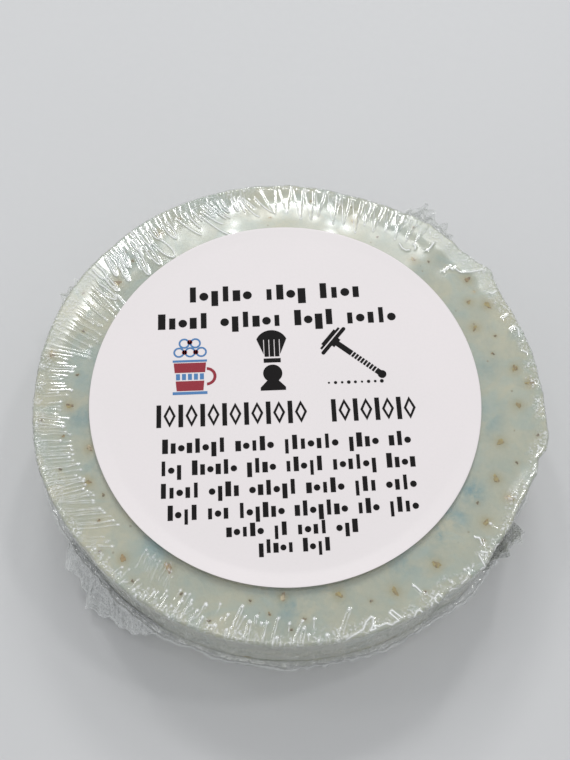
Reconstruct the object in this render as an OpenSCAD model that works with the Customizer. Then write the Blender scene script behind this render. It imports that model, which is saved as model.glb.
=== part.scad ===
// Shaving soap puck: a round cut slice of soap with oat flakes in it, sealed in clear shrink film,
// with a round paper label stuck on top of the film. The origin is the centre of the face that it
// rests on, +Z is up, and the label reads upright from the -Y side.

/* [Soap] */
// Diameter of the soap puck
puck_d = 76.2; // [72:0.1:80]
// Thickness of the soap puck
puck_h = 20; // [17:0.5:24]
// Radius of the softened edges of the cut soap
edge_r = 1.2; // [0.8:0.1:2]

/* [Oats] */
// Depth of an oat flake below the soap's surface
flake_t = 0.5; // [0.3:0.1:0.8]
// Depth of a bran speck below the soap's surface
speck_t = 0.3; // [0.2:0.1:0.5]
// Width of a bran speck
speck_d = 0.45; // [0.3:0.05:0.6]
// Number of flakes, and of specks, around the side
side_count = 14; // [0:1:18]
// Number of flakes, and of specks, in the bottom face
bottom_count = 16; // [0:1:20]
// Number of flakes, and of specks, hidden under the label
hidden_count = 8; // [0:1:10]

/* [Film] */
// Thickness of the shrunk film
film_t = 0.1; // [0.06:0.02:0.16]
// Height of the seam that joins the two webs of film
seam_z = 8; // [6:0.5:11]
// Width of the flange in which the two webs meet
flange_w = 0.7; // [0.4:0.1:1.2]
// Width of the melted bead at the rim of the flange
bead_w = 0.6; // [0.4:0.1:1]
// Height of the melted bead
bead_h = 0.8; // [0.5:0.1:1.2]

/* [Label] */
// Diameter of the paper label
label_d = 58.6; // [54:0.2:62]
// Thickness of the label paper
label_t = 0.1; // [0.08:0.01:0.15]
// Thickness of the adhesive under the label
adhesive_t = 0.03; // [0.02:0.01:0.05]
// Thickness of the printed ink
ink_t = 0.03; // [0.02:0.01:0.05]
// Angle that the label is turned by, anticlockwise
label_turn = 4; // [-10:1:10]

/* [Hidden] */
$fn = 128;
puck_r = puck_d / 2;
soap_top = film_t + puck_h;
wrap_top = soap_top + film_t;
wrap_r = puck_r + film_t;
flange_r = puck_r + flange_w;
bead_r = flange_r + bead_w;
label_pos = [-0.4, -1.2];
adhesive_inset = 0.4;
paper_z = wrap_top + adhesive_t;
ink_z = paper_z + label_t;
golden_angle = 137.5;
golden_ratio = 0.618;
overlap = 1;

// Oat flakes in the open ring of the top face: [angle, distance from the middle, length, width, turn]
TOP_FLAKES = [
    [148, 32.5, 1.6, 1.0, 20], [129, 34.5, 1.1, 0.7, 60], [72, 32.5, 1.0, 0.6, 10], [50, 30.5, 1.1, 0.7, 80],
    [35, 34.0, 1.2, 0.8, 45], [26, 35.0, 1.5, 0.9, 120], [29, 32.3, 0.9, 0.6, 0], [21, 31.0, 1.0, 0.7, 30],
    [7, 34.6, 1.4, 0.9, 70], [3, 36.4, 1.3, 0.8, 15], [357, 34.2, 1.1, 0.7, 100], [346, 32.0, 1.2, 0.8, 50],
    [336, 33.4, 1.3, 0.9, 140], [333, 36.2, 1.4, 0.9, 20], [325, 35.0, 1.1, 0.8, 90], [309, 34.0, 1.5, 0.8, 35],
    [297, 34.0, 1.4, 0.8, 10], [284, 32.0, 1.2, 0.8, 60], [270, 31.5, 1.2, 0.9, 150], [240, 32.2, 1.6, 1.1, 40],
    [230, 35.0, 1.2, 0.9, 75], [209, 32.5, 1.0, 0.7, 20], [200, 30.6, 1.0, 0.7, 110], [187, 32.7, 1.2, 0.8, 5],
    [173, 36.4, 1.3, 0.9, 85],
];
// Bran specks in the open ring of the top face: [angle, distance from the middle]
TOP_SPECKS = [
    [122, 35.5], [97, 31], [56, 36], [46, 32], [31, 34], [17, 33.5], [350, 36.5], [321, 36.2], [291, 34],
    [275, 34.6], [272, 36], [267, 34], [254, 36.5], [235, 36.5], [225, 36.8], [214, 31.5], [203, 35.3],
    [190, 36.8], [165, 33], [110, 33], [85, 35], [63, 31], [12, 32], [342, 35], [303, 36], [262, 32.5],
    [246, 34.5], [195, 33.8], [178, 32], [155, 36], [140, 33.5], [77, 35.6], [328, 32.5], [219, 34],
];

// Film corners, as pleats side by side: [first angle, angle of a pleat, [[reach, rise] of each pleat]].
// A reach is measured out from the bead, and a rise up from the seam to the pleat's free edge.
FRONT_LEFT_EAR = [212, 3, [[1.2, -2.5], [2.0, -5.0], [1.6, -4.5], [2.6, -6.0], [2.0, -5.5], [3.0, -6.8],
    [2.4, -6.0], [3.0, -6.5], [2.0, -5.0], [2.4, -5.5], [1.2, -3.5]]];
FRONT_RIGHT_EAR = [324, 3, [[1.0, 0.5], [1.8, 1.5], [2.4, 1.0], [2.8, 2.5], [2.2, 2.0], [1.2, 1.0]]];
BACK_RIGHT_EAR = [45, 4, [[2.0, 2.0], [4.6, 3.6], [5.6, 4.0], [5.0, 4.8], [3.6, 3.6], [1.8, 2.0]]];
BACK_LEFT_EAR = [142, 3, [[1.2, 1.5], [2.4, 2.5], [3.2, 3.0], [2.8, 3.4], [1.6, 2.0]]];

// Lines of blocks that stand for small print: [height above the label's middle, left end, right end,
// height of a short block, [number of blocks in each group]]
TEXT_LINES = [
    [16.1, -14.6, 12.6, 1.9, [6, 4, 4]],
    [11.5, -19.4, 17.8, 1.9, [5, 6, 4, 5]],
    [-8.8, -18.6, 18.2, 1.6, [8, 5, 7, 4, 3]],
    [-12.2, -18.8, 18.6, 1.6, [3, 6, 4, 5, 6, 4]],
    [-15.6, -18.8, 18.4, 1.6, [5, 4, 6, 5, 3, 4]],
    [-18.9, -17.8, 18.4, 1.6, [4, 3, 6, 7, 3, 4]],
    [-21.6, -9.5, 9.5, 1.4, [5, 2, 4, 3]],
    [-24.1, -5.0, 5.4, 1.4, [5, 4]],
];
group_gap = 1; // in block pitches
// Title band: heavy uprights and hollow lozenges in turn, with one column left out as a gap
title_pos = [-19.3, -4.7];
title_h = 3.6;
title_pitch = 3.25;
TITLE_COLUMNS = [0, 1, 2, 3, 4, 5, 6, 8, 9, 10, 11];

// The part of a number after its decimal point
function fraction(x) = x - floor(x);

// Sum of the first n numbers of a list
function sum_first(list, n) = n == 0 ? 0 : list[n - 1] + sum_first(list, n - 1);

// An uneven seven-sided outline for flake number k
function flake_outline(length, width, k) = [
    for (i = [0 : 6])
        let (turn = i * 360 / 7, size = 0.86 + 0.14 * sin(97 * i + 61 * k))
        [cos(turn) * length / 2 * size, sin(turn) * width / 2 * size]
];

// ---- soap, flakes and specks ----

// Half section of a disc with round edges, between two heights
module disc_section(radius, low, high, edge) {
    translate([0, low]) square([radius - edge, high - low]);
    translate([0, low + edge]) square([radius, high - low - 2 * edge]);
    for (z = [low + edge, high - edge]) translate([radius - edge, z]) circle(edge);
}

module soap_blank() {
    rotate_extrude() disc_section(puck_r, film_t, soap_top, edge_r);
}

// Prism that reaches a depth below the top face, standing out above it
module top_prism(angle, distance, depth, turn) {
    rotate(angle) translate([distance, 0, soap_top - depth]) rotate(turn)
        linear_extrude(depth + overlap) children();
}

// Prism that reaches a depth above the bottom face, standing out below it
module bottom_prism(angle, distance, depth, turn) {
    rotate(angle) translate([distance, 0, film_t - overlap]) rotate(turn)
        linear_extrude(depth + overlap) children();
}

// Prism that reaches a depth in from the side, standing out from it
module side_prism(angle, height, depth, turn) {
    rotate(angle) translate([puck_r - depth, 0, height]) rotate([0, 90, 0]) rotate(turn)
        linear_extrude(depth + overlap) children();
}

// Flakes or specks on every face that the top lists don't place. The first angle sets where the
// spiral of places starts, so that flakes and specks keep clear of each other.
module scattered(first_angle, depth, spread) {
    for (k = [0 : hidden_count - 1])
        top_prism(first_angle + k * golden_angle, 26 * spread * sqrt((k + 0.5) / hidden_count), depth, 77 * k)
            children();
    for (k = [0 : bottom_count - 1])
        bottom_prism(first_angle + k * golden_angle, 35.5 * spread * sqrt((k + 0.5) / bottom_count), depth, 53 * k)
            children();
    for (k = [0 : side_count - 1])
        side_prism(first_angle + k * golden_angle, film_t + 2.5 + (puck_h - 5) * fraction(k * golden_ratio),
            depth, 41 * k) children();
}

module flake_prisms() {
    for (k = [0 : len(TOP_FLAKES) - 1]) let (f = TOP_FLAKES[k])
        top_prism(f[0], f[1], flake_t, f[4]) polygon(flake_outline(f[2], f[3], k));
    scattered(20, flake_t, 1) polygon(flake_outline(1.4, 0.9, 5));
}

module speck_prisms() {
    for (k = [0 : len(TOP_SPECKS) - 1]) let (s = TOP_SPECKS[k])
        top_prism(s[0], s[1], speck_t, 50 * k) circle(d = speck_d, $fn = 5);
    scattered(90, speck_t, 0.94) circle(d = speck_d, $fn = 5);
}

module soap_puck() {
    color([0.74, 0.78, 0.7]) difference() {
        soap_blank();
        flake_prisms();
        speck_prisms();
    }
}

module oat_flakes() {
    color([0.62, 0.5, 0.32]) intersection() {
        soap_blank();
        flake_prisms();
    }
}

module bran_specks() {
    color([0.3, 0.22, 0.15]) intersection() {
        soap_blank();
        speck_prisms();
    }
}

// ---- film ----

// Half section of the film between two heights
module film_section(low, high) {
    intersection() {
        difference() {
            disc_section(wrap_r, 0, wrap_top, edge_r + film_t);
            disc_section(puck_r, film_t, soap_top, edge_r);
        }
        translate([0, low]) square([wrap_r, high - low]);
    }
}

module film_top_web() {
    color([0.85, 0.9, 0.9, 0.4]) rotate_extrude() {
        film_section(seam_z, wrap_top);
        translate([puck_r, seam_z]) square([flange_w, film_t]);
    }
}

module film_bottom_web() {
    color([0.8, 0.86, 0.88, 0.4]) rotate_extrude() {
        film_section(0, seam_z);
        translate([puck_r, seam_z - film_t]) square([flange_w, film_t]);
    }
}

module film_seam_bead() {
    chamfer = bead_w / 3;
    color([0.75, 0.8, 0.8, 0.6]) rotate_extrude() polygon([
        [flange_r, seam_z - bead_h / 2], [bead_r - chamfer, seam_z - bead_h / 2],
        [bead_r, seam_z - bead_h / 2 + chamfer], [bead_r, seam_z + bead_h / 2 - chamfer],
        [bead_r - chamfer, seam_z + bead_h / 2], [flange_r, seam_z + bead_h / 2],
    ]);
}

// A crumpled corner of film: a fan of straight pleats that stand out of one root strip, which
// lies against the bead's outer face. Neighbouring pleats overlap a little at their sides.
module film_ear(ear) {
    pleats = ear[2];
    root_h = bead_h / 3;
    root_w = film_t * 5;
    start = bead_r + film_t;
    start_h = root_h / 2;
    tip_h = film_t * 2;
    pleat_w = 1.15 * ear[1] * bead_r * PI / 180;
    color([0.85, 0.88, 0.9, 0.5]) union() {
        rotate(ear[0]) rotate_extrude(angle = ear[1] * len(pleats))
            translate([bead_r, seam_z - root_h / 2]) square([root_w, root_h]);
        for (k = [0 : len(pleats) - 1]) {
            reach = pleats[k][0];
            edge_z = seam_z + pleats[k][1];
            rotate(ear[0] + (k + 0.5) * ear[1]) translate([0, pleat_w / 2, 0]) rotate([90, 0, 0])
                linear_extrude(pleat_w) polygon([
                    [start, seam_z - start_h / 2], [bead_r + reach, edge_z - tip_h / 2],
                    [bead_r + reach, edge_z + tip_h / 2], [start, seam_z + start_h / 2],
                ]);
        }
    }
}

module film_ear_front_left() { film_ear(FRONT_LEFT_EAR); }
module film_ear_front_right() { film_ear(FRONT_RIGHT_EAR); }
module film_ear_back_right() { film_ear(BACK_RIGHT_EAR); }
module film_ear_back_left() { film_ear(BACK_LEFT_EAR); }

// ---- label ----

module label_adhesive() {
    color([0.9, 0.88, 0.75]) translate([label_pos.x, label_pos.y, wrap_top])
        cylinder(h = adhesive_t, r = label_d / 2 - adhesive_inset);
}

module label_stock() {
    color([0.92, 0.9, 0.9]) translate([label_pos.x, label_pos.y, paper_z])
        cylinder(h = label_t, r = label_d / 2);
}

// Turns flat artwork into a layer of ink on the label
module printed() {
    translate([label_pos.x, label_pos.y, ink_z]) rotate(label_turn) linear_extrude(ink_t) children();
}

// One block of a text line. Its number picks one of the shapes: short, tall, round, high or low.
module text_block(k, size, pitch) {
    width = pitch * (0.42 + 0.3 * fraction(k * golden_ratio));
    kind = k % 7;
    if (kind == 2 || kind == 5)
        translate([0, size * 0.5]) circle(d = min(size, pitch * 0.82), $fn = 24);
    else if (kind == 0 || kind == 4)
        translate([-width / 2, 0]) square([width, size * 1.4]);
    else if (kind == 6)
        translate([-width / 2, -size * 0.4]) square([width, size * 1.4]);
    else
        translate([-width / 2, 0]) square([width, size]);
}

// A row of blocks in groups, fitted between its two ends
module text_line(line) {
    groups = line[4];
    count = sum_first(groups, len(groups));
    pitch = (line[2] - line[1]) / (count + group_gap * (len(groups) - 1));
    for (g = [0 : len(groups) - 1], i = [0 : groups[g] - 1]) {
        k = sum_first(groups, g) + i;
        translate([line[1] + pitch * (k + 0.5 + group_gap * g), line[0]])
            text_block(k + round(line[0]) + 30, line[3], pitch);
    }
}

module lozenge(width, height) {
    polygon([[-width / 2, 0], [0, -height / 2], [width / 2, 0], [0, height / 2]]);
}

module title_band() {
    for (column = TITLE_COLUMNS) translate([title_pos.x + column * title_pitch, title_pos.y]) {
        square([0.7, title_h]);
        translate([1.95, title_h / 2]) difference() {
            lozenge(1.8, title_h);
            lozenge(1.0, title_h * 0.6);
        }
    }
}

// Lather brush, standing on its handle
module brush_icon() {
    difference() {
        union() {
            polygon([[-1.1, 5.4], [1.1, 5.4], [2.3, 8.4], [-2.3, 8.4]]);
            intersection() {
                translate([0, 7.4]) circle(2.5);
                translate([-3, 8.4]) square([6, 3]);
            }
        }
        for (x = [-1.2, -0.4, 0.4, 1.2]) translate([x, 6.6]) square([0.12, 3.4], center = true);
    }
    translate([-1.3, 4.4]) square([2.6, 0.7]);
    translate([0, 2.6]) circle(1.45);
    polygon([[-0.7, 1.6], [0.7, 1.6], [1.9, 0.3], [-1.9, 0.3]]);
    translate([-1.9, -0.2]) square([3.8, 0.5]);
}

// Safety razor, leaning over, with a row of lather dots under it
module razor_icon() {
    rotate(50) {
        translate([-0.45, -5.2]) difference() {
            square([0.9, 8.2]);
            for (y = [0.9 : 0.55 : 5.4]) translate([-0.1, y]) square([1.1, 0.18]);
        }
        translate([0, -5.4]) circle(0.65);
        translate([-0.8, 3]) square([1.6, 0.45]);
        translate([-2.6, 3.45]) square([5.2, 0.6]);
        translate([-2.3, 4.25]) square([4.6, 0.35]);
        for (x = [-2.6, 2.6]) translate([x, 3.75]) circle(0.3);
        translate([-1.6, 4.6]) square([3.2, 0.3]);
    }
    for (k = [0 : 8]) translate([-4 + k, -4.6]) circle(0.16 + 0.14 * fraction(k * golden_ratio));
}

// Lather mug: red parts
module mug_red() {
    polygon([[-2, 0.5], [2, 0.5], [2.15, 2.1], [-2.15, 2.1]]);
    polygon([[-2.3, 3.5], [2.3, 3.5], [2.45, 5.1], [-2.45, 5.1]]);
    intersection() {
        translate([2.5, 2.8]) difference() {
            circle(1.5);
            circle(1.05);
        }
        translate([2.55, 1]) square([2, 4]);
    }
    for (x = [-0.8, 0.9]) translate([x, 6.9]) circle(0.4);
    translate([0, 8.6]) circle(0.4);
}

// Lather mug: blue parts
module mug_blue() {
    translate([-2.6, -0.1]) square([5.2, 0.45]);
    for (x = [-1.8 : 0.9 : 1.8]) translate([x - 0.3, 2.3]) square([0.6, 1]);
    translate([-2.6, 5.25]) square([5.2, 0.35]);
    for (p = [[-1.65, 6.9], [0.05, 6.9], [1.75, 6.9], [-0.85, 8.4], [0.85, 8.4]]) translate(p) difference() {
        circle(0.85);
        circle(0.6, $fn = 10);
    }
}

module label_ink_black() {
    color([0.08, 0.07, 0.07]) printed() {
        for (line = TEXT_LINES) text_line(line);
        title_band();
        translate([-1.8, 0.9]) brush_icon();
        translate([10.6, 6.2]) razor_icon();
    }
}

module label_ink_red() { color([0.6, 0.15, 0.2]) printed() translate([-14.3, 0.6]) mug_red(); }
module label_ink_blue() { color([0.2, 0.4, 0.65]) printed() translate([-14.3, 0.6]) mug_blue(); }

soap_puck();
oat_flakes();
bran_specks();
film_top_web();
film_bottom_web();
film_seam_bead();
film_ear_front_left();
film_ear_front_right();
film_ear_back_right();
film_ear_back_left();
label_stock();
label_adhesive();
label_ink_black();
label_ink_red();
label_ink_blue();
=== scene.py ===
"""Looks of the shrink-wrapped shaving soap puck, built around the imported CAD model.

Lengths in this script are millimetres and angles are degrees, measured anticlockwise from +X, until
make_mesh() turns them into metres. Only the lights and the floor are given in metres from the start.
A place on the wrapped puck is given by its angle and by its "inset":
the distance inwards from the rim of the top face, measured along the surface, so that places on the
side have negative insets.
"""
import math

import bpy
import numpy as np
from mathutils import Matrix, Vector, noise


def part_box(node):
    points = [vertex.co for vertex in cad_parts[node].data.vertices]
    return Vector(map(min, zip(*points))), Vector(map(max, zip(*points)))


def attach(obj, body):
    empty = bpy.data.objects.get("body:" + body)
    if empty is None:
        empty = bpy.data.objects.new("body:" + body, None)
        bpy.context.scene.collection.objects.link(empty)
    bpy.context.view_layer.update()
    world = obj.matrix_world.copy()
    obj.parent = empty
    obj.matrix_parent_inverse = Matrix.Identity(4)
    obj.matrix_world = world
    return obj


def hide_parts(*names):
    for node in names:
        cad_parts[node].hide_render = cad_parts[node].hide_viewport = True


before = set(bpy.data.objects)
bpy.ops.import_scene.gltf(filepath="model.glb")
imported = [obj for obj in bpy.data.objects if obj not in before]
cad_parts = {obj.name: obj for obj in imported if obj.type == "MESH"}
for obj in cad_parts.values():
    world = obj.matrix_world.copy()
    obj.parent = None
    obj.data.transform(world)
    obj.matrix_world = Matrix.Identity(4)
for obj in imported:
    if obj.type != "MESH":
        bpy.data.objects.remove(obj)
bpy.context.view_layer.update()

MM = 0.001


def box_mm(node):
    """Lowest and highest corner of a CAD node's box, in millimetres."""
    low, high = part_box(node)
    return np.array(low) / MM, np.array(high) / MM


# ---- sizes, from the frame ----

SOAP_LOW, SOAP_HIGH = box_mm("soap_puck")
SOAP_R = SOAP_HIGH[0]
SOAP_BASE, SOAP_TOP = SOAP_LOW[2], SOAP_HIGH[2]
SEAM_Z = box_mm("film_top_web")[0][2]
FLANGE_R = box_mm("film_top_web")[1][0]
LABEL_LOW, LABEL_HIGH = box_mm("label_stock")
LABEL_MID = (LABEL_LOW + LABEL_HIGH) / 2
LABEL_R = (LABEL_HIGH[0] - LABEL_LOW[0]) / 2

# ---- sizes that only the looks use ----

EDGE_R = 0.4            # rounding of the soap's cut edges
FILM_GAP = 0.08         # from the soap to the film's inner face
FILM_T = 0.04           # thickness of the drawn film
SOAP_COLUMNS = 900      # points round the soap, a multiple of 3
SOAP_GRAIN = 0.02       # height of the soap's fine grain
RIGID_R = 24.0          # the puck is not bent out of shape within this radius

rng = np.random.default_rng(11)     # for the chips


# ---- helpers ----

def smooth(start, end, x):
    """0 before start, 1 after end, and an easy curve between."""
    t = np.clip((x - start) / (end - start), 0.0, 1.0)
    return t * t * (3.0 - 2.0 * t)


def between(theta, first, last):
    """1 between two angles and 0 outside them, with soft ends."""
    return smooth(first - 4, first + 4, theta) * smooth(last + 4, last - 4, theta)


def wrap_angle(a):
    """The same angle between -180 and 180."""
    return (a + 180.0) % 360.0 - 180.0


def at(r, theta, z):
    """Points from radii, angles and heights."""
    a = np.radians(theta)
    return np.stack(np.broadcast_arrays(r * np.cos(a), r * np.sin(a), z), axis=-1)


def bumps(theta, table):
    """Sum of rounded bumps, each (angle, half width in degrees, height)."""
    total = np.zeros_like(theta, dtype=float)
    for angle, width, height in table:
        total += height * np.exp(-(wrap_angle(theta - angle) / width) ** 2)
    return total


def waves(theta, seed, low, high, size):
    """Smooth random waviness round the puck, with low to high waves to the turn."""
    local = np.random.default_rng(seed)
    total = np.zeros_like(theta, dtype=float)
    for k in range(low, high + 1):
        total += np.cos(np.radians(k * theta) + local.uniform(0, 2 * np.pi)) * local.normal()
    return size * total / math.sqrt(high - low + 1)


def make_mesh(name, verts, faces, material, attributes=None, flat=False):
    """A mesh object from points in millimetres. attributes holds one list of numbers a name."""
    mesh = bpy.data.meshes.new(name)
    mesh.from_pydata((np.asarray(verts) * MM).tolist(), [], faces)
    mesh.update()
    for key, values in (attributes or {}).items():
        layer = mesh.attributes.new(key, "FLOAT", "POINT")
        layer.data.foreach_set("value", np.asarray(values, dtype=np.float32).ravel())
    if not flat:
        mesh.polygons.foreach_set("use_smooth", [True] * len(mesh.polygons))
    piece = bpy.data.objects.new(name, mesh)
    bpy.context.scene.collection.objects.link(piece)
    mesh.materials.append(material)
    return piece


def ring_faces(rows, columns, start=0, closed=False):
    """Quads between rows of points that each go right round. closed joins the last row to the first."""
    r = np.arange(rows if closed else rows - 1)[:, None]
    c = np.arange(columns)[None, :]
    r2, c2 = (r + 1) % rows, (c + 1) % columns
    quads = np.stack([r * columns + c, r2 * columns + c, r2 * columns + c2, r * columns + c2], axis=-1)
    return (quads.reshape(-1, 4) + start).tolist()


def sheet_faces(rows, columns, start=0):
    """Quads of an open grid of points."""
    r = np.arange(rows - 1)[:, None]
    c = np.arange(columns - 1)[None, :]
    corner = r * columns + c
    quads = np.stack([corner, corner + columns, corner + columns + 1, corner + 1], axis=-1)
    return (quads.reshape(-1, 4) + start).tolist()


def cap_faces(rows, columns, start=0):
    """Triangles from the first row and from the last to the two poles, which come after the rows."""
    top, bottom = start + rows * columns, start + rows * columns + 1
    last_row = start + (rows - 1) * columns
    faces = []
    for c in range(columns):
        d = (c + 1) % columns
        faces.append((top, start + c, start + d))
        faces.append((bottom, last_row + d, last_row + c))
    return faces


def lathe(name, grid, poles, material, attributes=None):
    """A closed surface from rows of points (rows, columns, 3) between two end points, the poles."""
    rows, columns = grid.shape[:2]
    verts = np.vstack([grid.reshape(-1, 3), poles])
    faces = ring_faces(rows, columns) + cap_faces(rows, columns)
    values = {}
    for key, array in (attributes or {}).items():
        values[key] = np.concatenate([array.ravel(), [array[0].mean(), array[-1].mean()]])
    return make_mesh(name, verts, faces, material, values)


# ---- outline of the hand-cut soap ----

# How far the puck bulges or is cut short: (angle, half width in degrees, millimetres)
OUTLINE = [
    (85, 48, -1.6), (70, 12, -0.4), (43, 5, -0.5), (35, 3.0, 0.75), (24, 7, -0.5), (12, 4, -0.15),
    (350, 9, 0.95), (344.5, 1.4, -0.55), (334, 5, -0.2), (316, 6, 0.4), (322, 2, -0.25), (307, 2, -0.25),
    (223, 3, -0.25), (200, 11, 0.4), (141, 6, -0.15),
]


def random_chips(seed, count, size, centre, spread):
    """Small nicks and burrs, most of them within spread degrees of centre."""
    local = np.random.default_rng(seed)
    angles = local.uniform(0, 360, count)
    strength = 0.25 + 0.75 * np.exp(-(wrap_angle(angles - centre) / spread) ** 2)
    return [(a, local.uniform(0.6, 1.9), local.normal() * size * s) for a, s in zip(angles, strength)]


TOP_CHIPS = random_chips(3, 170, 0.17, 10, 60)
BASE_CHIPS = random_chips(4, 220, 0.24, 270, 90)


def cut_edge(theta, z):
    """How far the soap's side stands out of the CAD cylinder."""
    near_top = smooth(SOAP_TOP - 3.0, SOAP_TOP, z)
    near_base = 1.0 - smooth(SOAP_BASE, SOAP_BASE + 4.0, z)
    chips = near_top * bumps(theta, TOP_CHIPS), near_base * bumps(theta, BASE_CHIPS)
    return bumps(theta, OUTLINE) + chips[0] + chips[1]


def face_wave(theta, r):
    """Height of the top face over the CAD plane: flat under the label, uneven towards the rim."""
    x, y = r * np.cos(np.radians(theta)), r * np.sin(np.radians(theta))
    roll = 0.03 * np.sin(0.42 * x + 0.7) * np.cos(0.37 * y - 0.4) + 0.012 * np.sin(0.9 * x - 0.8 * y)
    droop = 0.09 + 0.04 * np.cos(np.radians(theta - 65)) - 0.10 * between(theta % 360, 34, 58)
    return smooth(30.0, 34.0, r) * (roll - 0.03) - droop * smooth(33.0, SOAP_R, r) ** 2


def cut_shape(theta, r, z):
    """Points of the hand-cut disc, from the angles, radii and heights of points of the perfect one."""
    pull = smooth(RIGID_R, SOAP_R, r)
    out = r + pull * cut_edge(theta, z)
    return at(out, theta, z + smooth(SOAP_TOP - 2.5, SOAP_TOP, z) * face_wave(theta, r))


def disc_profile(offset, top_radii, side_steps, lowest):
    """Half outline of the disc grown by offset, from its middle over the edge and down the side to
    lowest. Gives the radius, the height, the outward direction (radial, up) and the inset of each
    point."""
    top = SOAP_TOP + offset
    rounding = EDGE_R + offset
    flat = [(r, top, 0.0, 1.0, RIM_R - r) for r in top_radii]
    arc, side = [], []
    for a in np.linspace(0, 90, 6)[1:]:
        c, s = math.cos(math.radians(a)), math.sin(math.radians(a))
        arc.append((SOAP_R - EDGE_R + rounding * s, SOAP_TOP - EDGE_R + rounding * c, s, c,
                    flat[-1][4] - rounding * math.radians(a)))
    for z in np.linspace(SOAP_TOP - EDGE_R, lowest, side_steps + 1)[1:]:
        side.append((SOAP_R + offset, z, 1.0, 0.0, arc[-1][4] - (SOAP_TOP - EDGE_R - z)))
    return np.array(flat + arc + side)


def outward_at(profile, theta, upright=1):
    """Outward direction of a turned surface at each row of its profile and each angle."""
    return at(profile[:, 2:3], theta, upright * profile[:, 3:4])


# ---- soap ----

# Blue mottles in the top of the soap: (angle, distance from the middle, radius, strength). Those just
# outside the label's front edge, from 234 to 303 degrees, are partly painted shadow of the label's lifted
# rim.
BLUE_MOTTLES_AND_SHADE = [
    (352, 30.0, 3.0, 0.5), (8, 30.5, 2.4, 0.4), (28, 30.0, 2.2, 0.3), (40, 34.0, 3.0, 0.3),
    (330, 31.0, 2.0, 0.8), (321, 31.0, 1.8, 0.8), (314, 30.8, 1.5, 0.9), (310, 32.0, 1.6, 0.7),
    (303, 31.0, 3.0, 0.5), (272, 33.0, 3.5, 0.5), (282, 30.5, 3.0, 0.4), (248, 31.5, 3.0, 0.3),
    (234, 31.0, 2.5, 0.7), (206, 31.0, 3.5, 0.35), (190, 31.0, 3.0, 0.6), (176, 31.5, 3.5, 0.45),
    (140, 33.0, 4.0, 0.35), (112, 33.5, 3.0, 0.3), (60, 33.0, 3.0, 0.3), (338, 34.5, 3.0, 0.3),
]
# Creamier patches, in the same form
CREAM_PATCHES = [
    (18, 34.5, 6.0, 0.8), (32, 31.0, 5.0, 0.8), (336, 35.5, 4.0, 0.6), (352, 35.0, 5.5, 0.7),
    (3, 34.0, 4.5, 0.7), (188, 37.0, 5.0, 0.6),
    (300, 35.5, 4.0, 0.4), (255, 35.5, 5.0, 0.5), (225, 36.5, 4.0, 0.8), (204, 36.8, 5.0, 0.9),
    (178, 36.8, 4.5, 0.6), (160, 36.0, 4.0, 0.4), (95, 31.0, 5.0, 0.4), (70, 31.5, 3.0, 0.4),
]


def patches(points, table):
    """Strength at each point of soft round patches, in the form of BLUE_MOTTLES_AND_SHADE."""
    total = np.zeros(points.shape[:-1])
    for angle, distance, radius, strength in table:
        a = math.radians(angle)
        away = np.hypot(points[..., 0] - distance * math.cos(a), points[..., 1] - distance * math.sin(a))
        total = np.maximum(total, strength * np.exp(-(away / radius) ** 2))
    return total


def islands(node):
    """The separate solids of a CAD node, as arrays of points in millimetres."""
    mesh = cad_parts[node].data
    parent = list(range(len(mesh.vertices)))

    def find(i):
        while parent[i] != i:
            parent[i] = parent[parent[i]]
            i = parent[i]
        return i

    for edge in mesh.edges:
        a, b = find(edge.vertices[0]), find(edge.vertices[1])
        parent[a] = b
    points = np.array([v.co for v in mesh.vertices]) / MM
    by_place = {}
    for i, p in enumerate(points):
        key = tuple(np.round(p, 3))
        if key in by_place:
            parent[find(i)] = find(by_place[key])
        by_place[key] = i
    groups = {}
    for i in range(len(points)):
        groups.setdefault(find(i), []).append(i)
    found = [points[g] for g in groups.values()]
    return sorted(found, key=lambda g: tuple(np.round(g.mean(0), 2)))


def chip_frame(points):
    """Middle of a chip's outer face, its outward and its long direction, and its two half sizes."""
    mid = (points.min(0) + points.max(0)) / 2
    if points[:, 2].max() > SOAP_TOP - 1.0 and np.ptp(points[:, 2]) < 1.0:
        out = np.array([0.0, 0.0, 1.0])
    elif points[:, 2].min() < SOAP_BASE + 1.0 and np.ptp(points[:, 2]) < 1.0:
        out = np.array([0.0, 0.0, -1.0])
    else:
        out = np.array([mid[0], mid[1], 0.0]) / math.hypot(mid[0], mid[1])
    flat = points - mid
    flat -= np.outer(flat @ out, out)
    spread, directions = np.linalg.eigh(flat.T @ flat)
    along = directions[:, 2]
    across = np.cross(out, along)
    face = mid + out * (points @ out - mid @ out).max()
    return face, out, along, np.abs(flat @ along).max(), np.abs(flat @ across).max()


def on_cut_soap(points):
    """Moves points of the perfect puck with the hand-cut surface."""
    r = np.hypot(points[:, 0], points[:, 1])
    theta = np.degrees(np.arctan2(points[:, 1], points[:, 0]))
    return cut_shape(theta, r, points[:, 2])


def chip_point(t, a, phase, upper, thickness, proud):
    """Where a point of a ragged chip lies along, across and out of it. t is its share of the way from
    the middle to the edge, at the angle a. The upper side is dished, with a crease."""
    ragged = 1 + 0.22 * math.sin(2 * a + phase[0]) + 0.20 * math.sin(3 * a + phase[1])
    ragged += 0.12 * math.sin(7 * a + phase[2])
    u, v = math.cos(a) * t * ragged, math.sin(a) * t * ragged
    if not upper:
        return u, v, proud - thickness * (1.0 - 0.6 * t * t)
    crease = 0.5 * math.exp(-((v - 0.2 * u) / 0.25) ** 2)
    height = proud * (1.0 - 0.5 * t * t - crease + 0.3 * math.sin(3.0 * u + phase[2]))
    return u, v, height - 0.12 * smooth(0.8, 1.0, t)


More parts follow.
